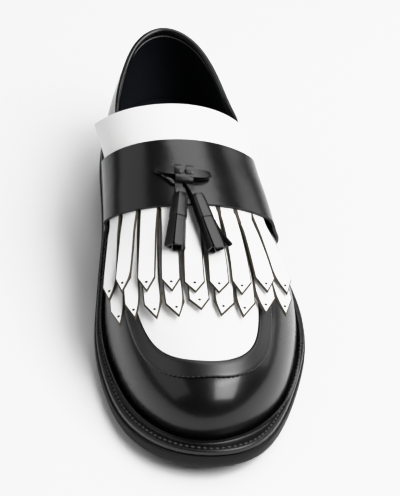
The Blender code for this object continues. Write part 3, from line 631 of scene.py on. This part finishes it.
# %% [markdown]
# ## Kiltie
# The kiltie is two layers of white leather cut into pointed strips. The knife leaves a slanting edge that shows
# the brown core, so the upper corner of the cut edge is bevelled and gets the edge's finish, while the lower one
# stays as it is. Only the marked edges carry a weight, and the bevel follows the weight. A strip's point has to
# stay sharp, so the creases here are full and also catch the corners of the points. Each strip has one pinhole
# near its point: small cylinders joined into one cutter are sunk part of the way into the leather.

# %% Kiltie
STRIP_THICK = 0.0012
HOLE_FROM_TIP = 0.0066
HOLE_RADIUS = 0.0008
HOLE_DEPTH = 0.0009
HOLE_CORNERS = 14
EDGE_PAINT = 0.0007
WALL_LIMIT = 1.15 * STRIP_THICK
PARTNER_LIMIT = 1.3 * STRIP_THICK
TIP_AHEAD = 0.002
STRIP_CREASE_ANGLE = 15.0
STRIP_SHADE_ANGLE = 35.0


def strip_tips(piece):
    """Place, direction towards the root, and outward normal of every strip's point on the upper side."""
    mesh = piece.data
    near = {index: set() for index in range(len(mesh.vertices))}
    for edge in mesh.edges:
        near[edge.vertices[0]].add(edge.vertices[1])
        near[edge.vertices[1]].add(edge.vertices[0])
    tips = []
    for vertex in mesh.vertices:
        around = [mesh.vertices[index].co for index in near[vertex.index]]
        apart = [place for place in around if (place - vertex.co).length > PARTNER_LIMIT]
        partner = [place for place in around if (place - vertex.co).length <= PARTNER_LIMIT]
        if not partner or not apart or min(place.y for place in apart) < vertex.co.y + TIP_AHEAD:
            continue
        if partner[0].z > vertex.co.z:
            continue
        root = sum(apart, Vector()) / len(apart)
        tips.append((vertex.co.copy(), (root - vertex.co).normalized(), (vertex.co - partner[0]).normalized()))
    return tips


# %% Edges and pinholes of a layer
def mark_upper_edges(piece):
    """Gives the bevel a weight on every edge between the upper side of the leather and its cut edge."""
    build = bmesh.new()
    build.from_mesh(piece.data)
    weight = build.edges.layers.float.new("bevel_weight_edge")
    marked = 0
    for edge in build.edges:
        cut = [face for face in edge.link_faces if face.material_index == 1]
        top = [face for face in edge.link_faces if face.material_index == 0 and face.normal.z > 0.0]
        if len(cut) == 1 and len(top) == 1:
            edge[weight] = 1.0
            marked += 1
    build.to_mesh(piece.data)
    build.free()
    print(piece.name, "painted edges:", marked)


def pinhole_cutter(tips):
    """One mesh of short cylinders, sunk into the strips."""
    cutters = []
    for tip, back, outward in tips:
        place = tip + back * HOLE_FROM_TIP
        bpy.ops.mesh.primitive_cylinder_add(
            vertices=HOLE_CORNERS, radius=HOLE_RADIUS, depth=2.0 * HOLE_DEPTH, location=place)
        cutter = bpy.context.object
        cutter.rotation_euler = outward.to_track_quat("Z", "Y").to_euler()
        cutters.append(cutter)
    bpy.ops.object.select_all(action="DESELECT")
    for cutter in cutters:
        cutter.select_set(True)
    bpy.context.view_layer.objects.active = cutters[0]
    bpy.ops.object.join()
    bpy.ops.object.transform_apply(location=True, rotation=True, scale=True)
    cutters[0].data.materials.append(RAW_EDGE)
    return cutters[0]


# %% Both layers
for node in ("kiltie_lower", "kiltie_upper"):
    piece = start_from(node, "dressed_" + node)
    piece.data.materials.append(SMOOTH_WHITE)
    piece.data.materials.append(RAW_EDGE)
    for index in thin_walls(piece, WALL_LIMIT):
        piece.data.polygons[index].material_index = 1
    tips = strip_tips(piece)
    mark_upper_edges(piece)
    select_only(piece)
    paint = piece.modifiers.new("painted edge", "BEVEL")
    paint.width = EDGE_PAINT
    paint.segments = 1
    paint.limit_method = "WEIGHT"
    paint.use_clamp_overlap = False
    paint.material = 1
    bpy.ops.object.modifier_apply(modifier="painted edge")
    crease_corners(piece, STRIP_CREASE_ANGLE, amount=1.0)
    subdivide_smooth(piece, 2, STRIP_SHADE_ANGLE)
    cutter = pinhole_cutter(tips)
    select_only(piece)
    holes = piece.modifiers.new("pinholes", "BOOLEAN")
    holes.operation = "DIFFERENCE"
    holes.solver = "EXACT"
    holes.object = cutter
    bpy.ops.object.modifier_apply(modifier="pinholes")
    bpy.data.objects.remove(cutter)
    bpy.ops.object.shade_smooth_by_angle(angle=math.radians(STRIP_SHADE_ANGLE))
    print(node, "pinholes:", len(tips))
    put_in_place(piece, "white_leather", node)

# %% [markdown]
# ## Bent leather
# The tie and the tassels are thin strips of leather that are rolled, folded and bent. Each starts as a flat grid.
# Its points are carried to where the strip lies, the sheet is given its thickness, and a subdivision rounds it. A
# grid's two directions run from 0 to 1 along the strip and from -1 to 1 across it. A closed strip is merged where
# its two edges meet.


# %% Bent leather
SEAM_MERGE = 0.00002
RIM_CREASE = 0.5


def bent_leather(name, rows, columns, carry, thickness, closed=False):
    """A sheet of leather whose grid points are carried by a function of (share along, place across)."""
    bpy.ops.mesh.primitive_grid_add(x_subdivisions=rows, y_subdivisions=columns, size=2.0)
    piece = bpy.context.object
    piece.name = name
    for vertex in piece.data.vertices:
        vertex.co = carry(0.5 + 0.5 * vertex.co.x, vertex.co.y)
    select_only(piece)
    bpy.ops.object.mode_set(mode="EDIT")
    bpy.ops.mesh.select_all(action="SELECT")
    if closed:
        bpy.ops.mesh.remove_doubles(threshold=SEAM_MERGE)
    bpy.ops.mesh.normals_make_consistent(inside=False)
    bpy.ops.object.mode_set(mode="OBJECT")
    skin = piece.modifiers.new("skin", "SOLIDIFY")
    skin.thickness = thickness
    skin.offset = 0.0
    skin.use_rim = True
    skin.edge_crease_outer = RIM_CREASE
    skin.edge_crease_inner = RIM_CREASE
    bpy.ops.object.modifier_apply(modifier="skin")
    subdivide_smooth(piece, 1)
    return piece


def join_pieces(name, pieces, finish):
    """Joins strips into one piece with one finish and turns its faces outward."""
    bpy.ops.object.select_all(action="DESELECT")
    for piece in pieces:
        piece.select_set(True)
    bpy.context.view_layer.objects.active = pieces[0]
    bpy.ops.object.join()
    joined = bpy.context.object
    joined.name = name
    joined.data.name = name
    joined.data.materials.clear()
    joined.data.materials.append(finish)
    select_only(joined)
    bpy.ops.object.mode_set(mode="EDIT")
    bpy.ops.mesh.select_all(action="SELECT")
    bpy.ops.mesh.normals_make_consistent(inside=False)
    bpy.ops.object.mode_set(mode="OBJECT")
    return joined


# %% [markdown]
# ## Tassels
# A tassel is a rolled fringe: broad strips hang from a tube of leather, and a second, shorter turn of leather
# wraps the top as its head. Stiff leather doesn't roll quite round but bends at a few corners with flat sides
# between, so each side here is one strip, with a narrow slit to the next that opens towards the foot. A plain
# tube inside keeps the slits dark. The solid says where the tassel lies: its longest direction runs from the neck
# to the foot, its thinnest one points up from the shoe. One strip of the lateral tassel has come loose and curls
# away.

# %% Tassels
# Corners of the rolled leather, in degrees from straight up towards the lateral side
CORNERS = (200.0, 272.0, 352.0, 422.0, 490.0)
SKIRT_START = 0.44
HEAD_START = 0.08
HEAD_FOOT = 0.48
HEAD_PROUD = 0.0006
HEAD_LAP = 0.0003
HEAD_FLAT = 0.88
STRIP_FILL = 0.955
STRIP_TAPER = 0.10
STRIP_STEP = 0.0002
STRIP_FLAT = 0.92
CORE_START = 0.3
CORE_LONG = 0.60
CORE_INSET = 0.0014
CORE_FLAT = 0.3
CORE_THICK = 0.0006
LAST_TURN = 0.9999
LEATHER_THICK = 0.0010
STRAY_THICK = 0.0016
STRAY_START = 0.50
STRAY_LONG = 0.44


def mesh_points(node):
    """The corners of a solid as an array."""
    return np.array([tuple(vertex.co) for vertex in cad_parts[node].data.vertices])


def tassel_axes(node):
    """Neck, foot and the across and up directions of a tassel's solid."""
    points = mesh_points(node)
    centre = points.mean(axis=0)
    along, across, up = np.linalg.svd(points - centre, full_matrices=False)[2]
    along = -along if along[1] > 0.0 else along
    up = -up if up[2] < 0.0 else up
    across = np.cross(up, along)
    reach = (points - centre) @ along
    neck = Vector(centre + along * reach.min())
    foot = Vector(centre + along * reach.max())
    return neck, foot, Vector(across), Vector(up)


def tassel_radius(share):
    """Half width and half height of the tassel at a share of its length."""
    shares = (0.0, HEAD_START, 0.12, 0.26, 0.42, HEAD_FOOT, 0.72, 1.0)
    wide = (1.6, 2.6, 3.4, 3.8, 4.2, 4.2, 4.8, 5.3)
    high = (1.4, 2.2, 2.7, 2.9, 3.1, 3.1, 3.3, 3.5)
    return np.interp(share, shares, wide) * MM, np.interp(share, shares, high) * MM


def pressed_flat(turn, corners, flatness):
    """Sideways and upward part of a roll that is pressed flat between its corners. One turn runs from 0 to 1."""
    side = min(int(turn * len(corners)), len(corners) - 1)
    share = turn * len(corners) - side
    first = math.radians(corners[side])
    last = math.radians(corners[side + 1] if side + 1 < len(corners) else corners[0] + 360.0)
    round_turn = first + (last - first) * share
    flat_side = math.sin(first) + (math.sin(last) - math.sin(first)) * share
    flat_up = math.cos(first) + (math.cos(last) - math.cos(first)) * share
    sideways = math.sin(round_turn) + (flat_side - math.sin(round_turn)) * flatness
    upward = math.cos(round_turn) + (flat_up - math.cos(round_turn)) * flatness
    return sideways, upward


# %% One tassel
def make_tassel(node, roll, lengths, swings):
    """Head, skirt strips and core of one tassel. The roll turns its corners; swings lift strips at the foot."""
    neck, foot, across, up = tassel_axes(node)
    axis = foot - neck
    corners = [corner + roll for corner in CORNERS]

    def on_roll(share, turn, outward, flatness):
        wide, high = tassel_radius(share)
        sideways, upward = pressed_flat(turn, corners, flatness)
        return neck + axis * share + across * (sideways * (wide + outward)) + up * (upward * (high + outward))

    pieces = []
    for strip, (long, swing) in enumerate(zip(lengths, swings)):
        def carry(share, place, strip=strip, long=long, swing=swing):
            down = SKIRT_START + (long - SKIRT_START) * share
            half = 0.5 * (STRIP_FILL - STRIP_TAPER * share ** 2)
            turn = (strip + 0.5 + half * place) / len(corners)
            return on_roll(down, turn, STRIP_STEP * (strip % 2) + swing * MM * share ** 2, STRIP_FLAT)

        pieces.append(bent_leather("strip", 7, 4, carry, LEATHER_THICK))

    def carry_core(share, place):
        return on_roll(CORE_START + CORE_LONG * share, min(0.5 + 0.5 * place, LAST_TURN), -CORE_INSET, CORE_FLAT)

    pieces.append(bent_leather("core", 4, 20, carry_core, CORE_THICK, closed=True))

    def carry_head(share, place):
        down = HEAD_START + (HEAD_FOOT - HEAD_START) * share
        turn = min(0.5 + 0.5 * place, LAST_TURN)
        return on_roll(down, turn, HEAD_PROUD + HEAD_LAP * place, HEAD_FLAT)

    pieces.append(bent_leather("head", 8, 30, carry_head, LEATHER_THICK))
    return pieces


def stray_strip(node):
    """A strip that has come loose from a tassel and curls away to the lateral side."""
    neck, foot, across, up = tassel_axes(node)

    def carry(share, place):
        down = STRAY_START + STRAY_LONG * share
        aside = (3.4 + 5.2 * share ** 1.6) * MM
        lift = (0.4 - 1.4 * share + 1.0 * place) * MM
        return neck.lerp(foot, down) + across * (aside + 0.6 * MM * place) + up * lift
    return bent_leather("stray", 8, 2, carry, STRAY_THICK)


# %% Both tassels
medial_tassel = make_tassel(
    "tassel_medial", roll=0.0, lengths=(0.96, 0.99, 0.97, 1.0, 0.98), swings=(0.1, 0.3, 0.0, 0.5, 0.2))
lateral_tassel = make_tassel(
    "tassel_lateral", roll=-20.0, lengths=(0.98, 0.97, 1.0, 0.98, 0.96), swings=(0.2, 0.4, 0.1, 0.3, 0.0))
lateral_tassel.append(stray_strip("tassel_lateral"))
for node, pieces in (("tassel_medial", medial_tassel), ("tassel_lateral", lateral_tassel)):
    tassel = join_pieces("dressed_" + node, pieces, TASSEL_LEATHER)
    put_in_place(tassel, "black_leather", node)

# %% [markdown]
# ## Tassel tie
# A flat thong is folded into a small bow on the saddle. Its two loops narrow towards their rounded ends and bend
# back a little. Two bars of the thong lie over the middle of the bow, a wide one lies in front of them, and the
# ends run forward into the heads of the tassels. Every point is set by its place across and in front of the bow's
# middle and its height over the saddle, which is found by looking straight down on the saddle.

# %% Tassel tie
tie_points = mesh_points("tassel_tie")
tie_centre = Vector(tie_points.mean(axis=0))
saddle_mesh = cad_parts["saddle"].data
saddle_tree = BVHTree.FromPolygons(
    [vertex.co for vertex in saddle_mesh.vertices], [tuple(face.vertices) for face in saddle_mesh.polygons])
saddle_spot, tie_up, _, _ = saddle_tree.find_nearest(tie_centre)
tie_across = Vector(np.linalg.svd(tie_points - tie_points.mean(axis=0), full_matrices=False)[2][0])
if tie_across.x < 0.0:
    tie_across.negate()
tie_across = (tie_across - tie_up * tie_across.dot(tie_up)).normalized()
tie_front = tie_across.cross(tie_up)
if tie_front.y > 0.0:
    tie_front.negate()
LOOK_FROM = 0.03
THONG_IN_HEAD = 0.16
THONG_THICK = 0.0014
THONG_ARCH = 0.0008
# Sizes on the saddle in millimetres, and the share by which a loop's end is narrower
THONG_LIFT = 0.9
BOW_INNER = 3.0
BOW_LIFT = 0.8
BOW_TILT = 0.6
BOW_CURVE = 1.8
BOW_ROUND = 0.62


def on_saddle(across, front, height):
    """A point over the saddle, in millimetres from the middle of the bow."""
    above = saddle_spot + (tie_across * across + tie_front * front) * MM + tie_up * LOOK_FROM
    hit = saddle_tree.ray_cast(above, -tie_up)[0]
    if hit is None:
        hit = above - tie_up * LOOK_FROM
    return hit + tie_up * (height * MM)


# %% Folds of the tie
def bow_loop(side, reach, front, width, tall):
    """One loop of the bow: out over the saddle, round, and back underneath."""
    def carry(share, place):
        turn = math.pi * share
        out = BOW_INNER + (reach - BOW_INNER) * math.sin(turn) ** 0.8
        height = BOW_LIFT + tall * (0.5 + 0.5 * math.cos(turn))
        narrow = 1.0 - BOW_ROUND * math.sin(turn) ** 5
        middle = front - BOW_CURVE * (out / reach) ** 2
        return on_saddle(side * out, middle + 0.5 * width * narrow * place, height + BOW_TILT * place)
    return bent_leather("loop", 14, 3, carry, LEATHER_THICK)


def folded_bar(across, width, rear, front, rear_height, top, front_height):
    """A strip of the thong that comes up behind the bow, lies over it and goes down in front."""
    def carry(share, place):
        along = rear + (front - rear) * (0.5 - 0.5 * math.cos(math.pi * share))
        base = rear_height + (front_height - rear_height) * share
        height = base + (top - base) * math.sin(math.pi * share) ** 0.5
        return on_saddle(across + 0.5 * width * place, along, height)
    return bent_leather("bar", 10, 3, carry, LEATHER_THICK)


def thong(start, end, width):
    """A piece of thong between two points, arched a little over what lies between."""
    def carry(share, place):
        middle = start.lerp(end, share) + tie_up * (THONG_ARCH * math.sin(math.pi * share))
        return middle + tie_across * (0.5 * width * MM * place)
    return bent_leather("thong", 6, 2, carry, THONG_THICK)


def inside_head(node):
    """Where a thong ends, a little way down inside a tassel's head."""
    neck, foot, _, _ = tassel_axes(node)
    return neck.lerp(foot, THONG_IN_HEAD)


# %% The tie put together
tie = join_pieces("dressed_tassel_tie", [
    bow_loop(side=-1.0, reach=15.8, front=2.0, width=5.4, tall=2.0),
    bow_loop(side=1.0, reach=15.2, front=3.0, width=6.2, tall=2.4),
    folded_bar(across=-3.4, width=3.8, rear=-2.2, front=4.2, rear_height=0.7, top=4.2, front_height=2.4),
    folded_bar(across=3.0, width=4.0, rear=-2.2, front=4.2, rear_height=0.7, top=4.2, front_height=2.4),
    folded_bar(across=0.4, width=9.8, rear=2.8, front=8.4, rear_height=2.2, top=3.4, front_height=0.8),
    thong(on_saddle(-11.0, 3.2, THONG_LIFT), on_saddle(-4.8, 9.0, THONG_LIFT), width=2.6),
    thong(on_saddle(-2.8, 7.2, THONG_LIFT), inside_head("tassel_medial"), width=4.2),
    thong(on_saddle(1.8, 7.2, THONG_LIFT), inside_head("tassel_lateral"), width=3.2),
], TASSEL_LEATHER)
put_in_place(tie, "black_leather", "tassel_tie")

# %% [markdown]
# ## Stitches
# The moccasin seam and the welt are sewn with waxed thread. One stitch is a small rounded grain, made once from a
# sphere. Copies of it are laid along a line, each turned with the line and seated on the surface, and all copies
# of a seam are one mesh. The moccasin seam follows the front edge of the band. On the welt there is no edge to
# follow, so its line is found by looking straight down: from a middle line of the shoe outward in every
# direction, a little inside the place where the welt ends.

# %% Stitches
bpy.ops.mesh.primitive_uv_sphere_add(segments=8, ring_count=5, radius=1.0)
one_stitch = bpy.context.object
one_stitch.name = "one stitch"
STITCH_POINTS = np.array([tuple(vertex.co) for vertex in one_stitch.data.vertices])
STITCH_FACES = [tuple(face.vertices) for face in one_stitch.data.polygons]
bpy.data.objects.remove(one_stitch)


def sew(name, points, pitch, length, width, sink, ground, finish):
    """A seam of stitches along a line, seated on the surface of a piece."""
    tree = BVHTree.FromObject(ground, bpy.context.evaluated_depsgraph_get())
    middles, directions = spaced_points(points, pitch)
    corners = []
    faces = []
    for middle, direction in zip(middles, directions):
        spot, normal, _, _ = tree.find_nearest(Vector(middle))
        along = Vector(direction)
        along = (along - normal * along.dot(normal)).normalized()
        aside = normal.cross(along)
        turned = np.array([tuple(along), tuple(aside), tuple(normal)])
        size = np.array([0.5 * length, 0.5 * width, 0.5 * width])
        start = len(corners)
        corners.extend(map(tuple, (STITCH_POINTS * size) @ turned + np.array(spot - normal * sink)))
        faces.extend(tuple(start + corner for corner in face) for face in STITCH_FACES)
    mesh = bpy.data.meshes.new(name)
    mesh.from_pydata(corners, [], faces)
    mesh.shade_smooth()
    mesh.materials.append(finish)
    piece = bpy.data.objects.new(name, mesh)
    bpy.context.collection.objects.link(piece)
    put_in_place(piece, "black_leather")


# %% Stitches on the welt
dressed_welt = bpy.data.objects["dressed_welt"]
welt_tree = BVHTree.FromObject(dressed_welt, bpy.context.evaluated_depsgraph_get())
DOWN = Vector((0.0, 0.0, -1.0))
TOE_CENTRE = Vector((0.006, -0.080, 0.15))
HEEL_CENTRE = Vector((-0.004, 0.090, 0.15))
FARTHEST = 0.10
LOOK_STEP = 0.0005
STITCH_INSET = 0.0040
STITCH_PLACE = 0.6


def welt_spot(centre, turn):
    """A point on top of the welt, a little inside its outer edge, found by looking down from outside inward."""
    outward = Vector((math.cos(turn), math.sin(turn), 0.0))
    outer = FARTHEST
    while welt_tree.ray_cast(centre + outward * outer, DOWN)[0] is None:
        outer -= LOOK_STEP
    inner = outer
    while outer - inner < STITCH_INSET and welt_tree.ray_cast(centre + outward * (inner - LOOK_STEP), DOWN)[0]:
        inner -= LOOK_STEP
    middle = outer - STITCH_PLACE * (outer - inner)
    return welt_tree.ray_cast(centre + outward * middle, DOWN)[0]


ARC_STEPS = 60
SIDE_STEPS = 60
arc = [math.pi * step / ARC_STEPS for step in range(ARC_STEPS + 1)]
sides = [step / SIDE_STEPS for step in range(1, SIDE_STEPS)]
welt_line = [welt_spot(HEEL_CENTRE, turn) for turn in arc]
welt_line += [welt_spot(HEEL_CENTRE.lerp(TOE_CENTRE, share), math.pi) for share in sides]
welt_line += [welt_spot(TOE_CENTRE, math.pi + turn) for turn in arc]
welt_line += [welt_spot(TOE_CENTRE.lerp(HEEL_CENTRE, share), 0.0) for share in sides]
sew(
    "welt_stitches", welt_line + welt_line[:1], pitch=0.0031, length=0.0024, width=0.0013, sink=0.0001,
    ground=dressed_welt, finish=THREAD)

# %% Moccasin seam
FRONT_TILT = 0.2
band_copy = start_from("apron_band", "band line")
band_front = min(band_copy.data.vertices, key=lambda vertex: vertex.co.y - FRONT_TILT * vertex.co.z)
right_half = edge_line(band_copy, band_front.index, neighbour_towards(band_copy, band_front.index, SIDEWAYS))
left_half = edge_line(band_copy, band_front.index, neighbour_towards(band_copy, band_front.index, -SIDEWAYS))
seam_line = left_half[:0:-1] + right_half
print("seam points:", len(seam_line))
sew(
    "moccasin_seam", seam_line, pitch=0.0027, length=0.0019, width=0.0010, sink=0.0002,
    ground=bpy.data.objects["dressed_apron_band"], finish=DARK_THREAD)
bpy.data.objects.remove(band_copy)
